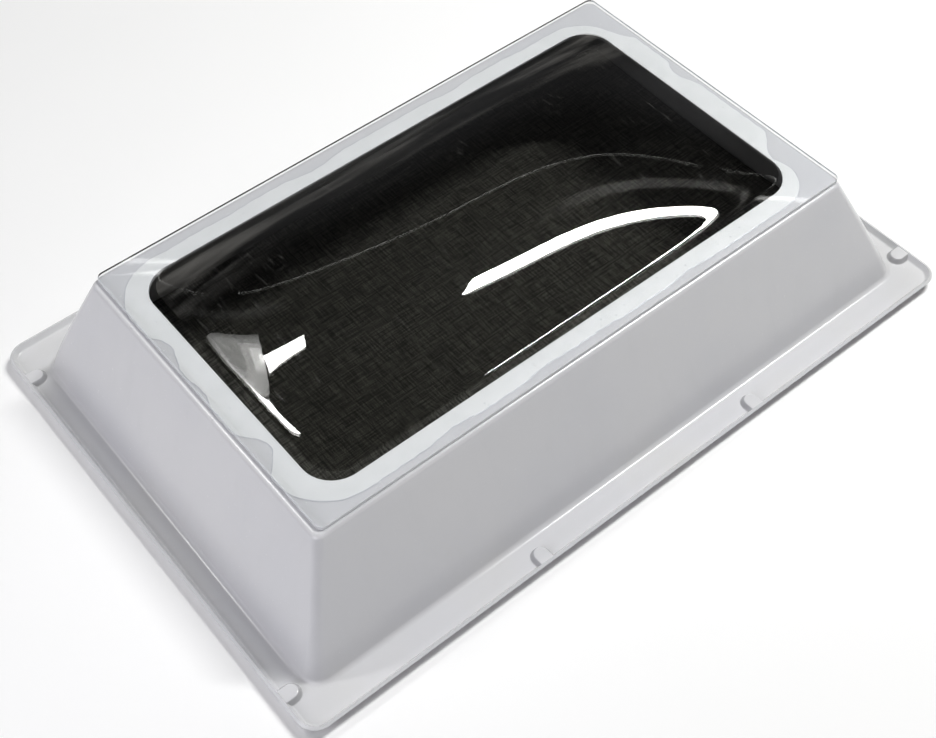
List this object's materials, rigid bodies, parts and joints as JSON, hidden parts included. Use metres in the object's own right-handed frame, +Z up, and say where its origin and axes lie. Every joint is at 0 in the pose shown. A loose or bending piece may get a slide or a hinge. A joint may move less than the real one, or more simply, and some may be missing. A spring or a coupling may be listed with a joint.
{
  "type": "roof vent cover",
  "caption": "Fixed rectangular roof vent cover: a flanged white shell with sloping walls carries a low clear dome bonded over its opening.",
  "frame": {"origin": "centre of the cover in plan, on the roof surface under the foam seal", "axes": "+X along the cover's length, +Y across it, +Z up out of the roof through the dome"},
  "size_m": [0.629, 0.426, 0.1384],
  "materials": {
    "white_shell": "white vacuum-formed sheet, satin gloss",
    "bond": "milky clear adhesive, squeezed out unevenly",
    "clear_glazing": "clear acrylic, blown dome with a flat rim",
    "foam_seal": "closed-cell foam strip, matt charcoal"
  },
  "bodies": {
    "root": {"curb_shell": "white_shell", "bond_film": "bond", "dome_glazing": "clear_glazing", "seal_front": "foam_seal", "seal_rear": "foam_seal", "seal_left": "foam_seal", "seal_right": "foam_seal"}
  },
  "joints": []
}
